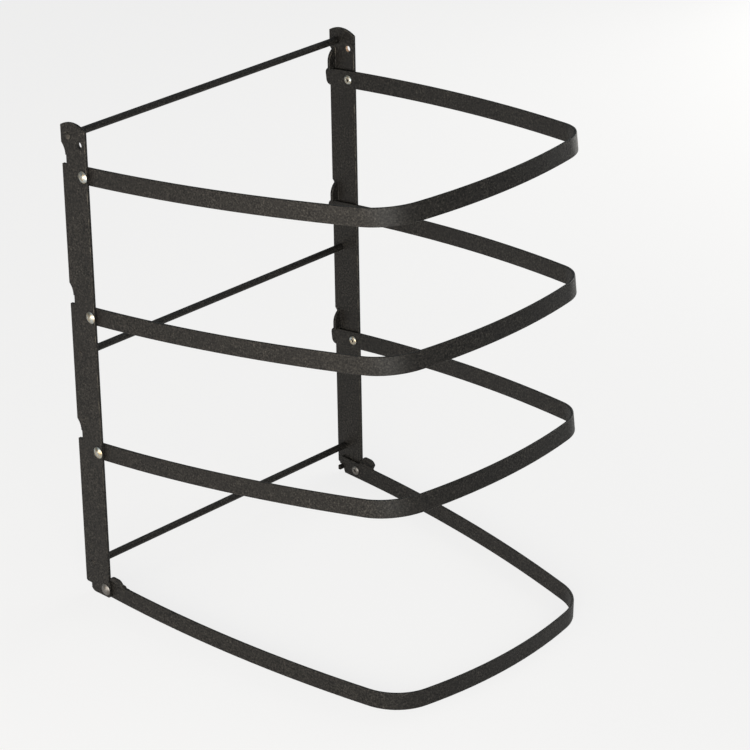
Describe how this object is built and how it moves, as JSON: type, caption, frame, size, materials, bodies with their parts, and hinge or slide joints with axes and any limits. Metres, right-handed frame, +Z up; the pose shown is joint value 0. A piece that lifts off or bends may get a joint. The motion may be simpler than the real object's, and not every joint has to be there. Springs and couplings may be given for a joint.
{
  "type": "bakery bread rack",
  "caption": "Folding counter rack in black coated flat steel: two posts with cross rods carry hinged strap loops that hold baking trays one above another.",
  "frame": {"origin": "on the resting surface, in the middle of the footprint of the opened rack", "axes": "+Z up, -Y towards the front where the trays go in, +X to the right seen from the front"},
  "size_m": [0.2572, 0.2962, 0.3615],
  "materials": {
    "black_powder_coat": "fine textured matt black powder coat",
    "bright_rivet": "bright zinc plate"
  },
  "bodies": {
    "frame": {"post_right": "black_powder_coat", "post_left": "black_powder_coat", "cross_rod_lower": "black_powder_coat", "cross_rod_middle": "black_powder_coat", "cross_rod_top": "black_powder_coat", "rivet_base_right": "bright_rivet", "rivet_base_left": "bright_rivet", "rivet_lower_right": "bright_rivet", "rivet_lower_left": "bright_rivet", "rivet_middle_right": "bright_rivet", "rivet_middle_left": "bright_rivet", "rivet_top_right": "bright_rivet", "rivet_top_left": "bright_rivet"},
    "shelf_lower": {"shelf_loop_lower": "black_powder_coat"},
    "shelf_middle": {"shelf_loop_middle": "black_powder_coat"},
    "shelf_top": {"shelf_loop_top": "black_powder_coat"},
    "base": {"base_loop": "black_powder_coat"}
  },
  "joints": [
    {"name": "fold_shelf_top", "type": "hinge", "parent": "frame", "child": "shelf_top", "pos_m": [0, 0.12529, 0.31636], "axis": [-1, 0, 0], "range_deg": [0, 76]},
    {"name": "fold_shelf_middle", "type": "hinge", "parent": "frame", "child": "shelf_middle", "pos_m": [0, 0.12175, 0.21482], "axis": [-1, 0, 0], "range_deg": [0, 76]},
    {"name": "fold_shelf_lower", "type": "hinge", "parent": "frame", "child": "shelf_lower", "pos_m": [0, 0.1182, 0.11328], "axis": [-1, 0, 0], "range_deg": [0, 76]},
    {"name": "fold_base", "type": "hinge", "parent": "frame", "child": "base", "pos_m": [0, 0.11447, 0.00635], "axis": [1, 0, 0], "range_deg": [0, 88]}
  ],
  "couplings": [
    {"joint": "fold_shelf_middle", "follows": "fold_shelf_top", "ratio": 1},
    {"joint": "fold_shelf_lower", "follows": "fold_shelf_top", "ratio": 1}
  ]
}
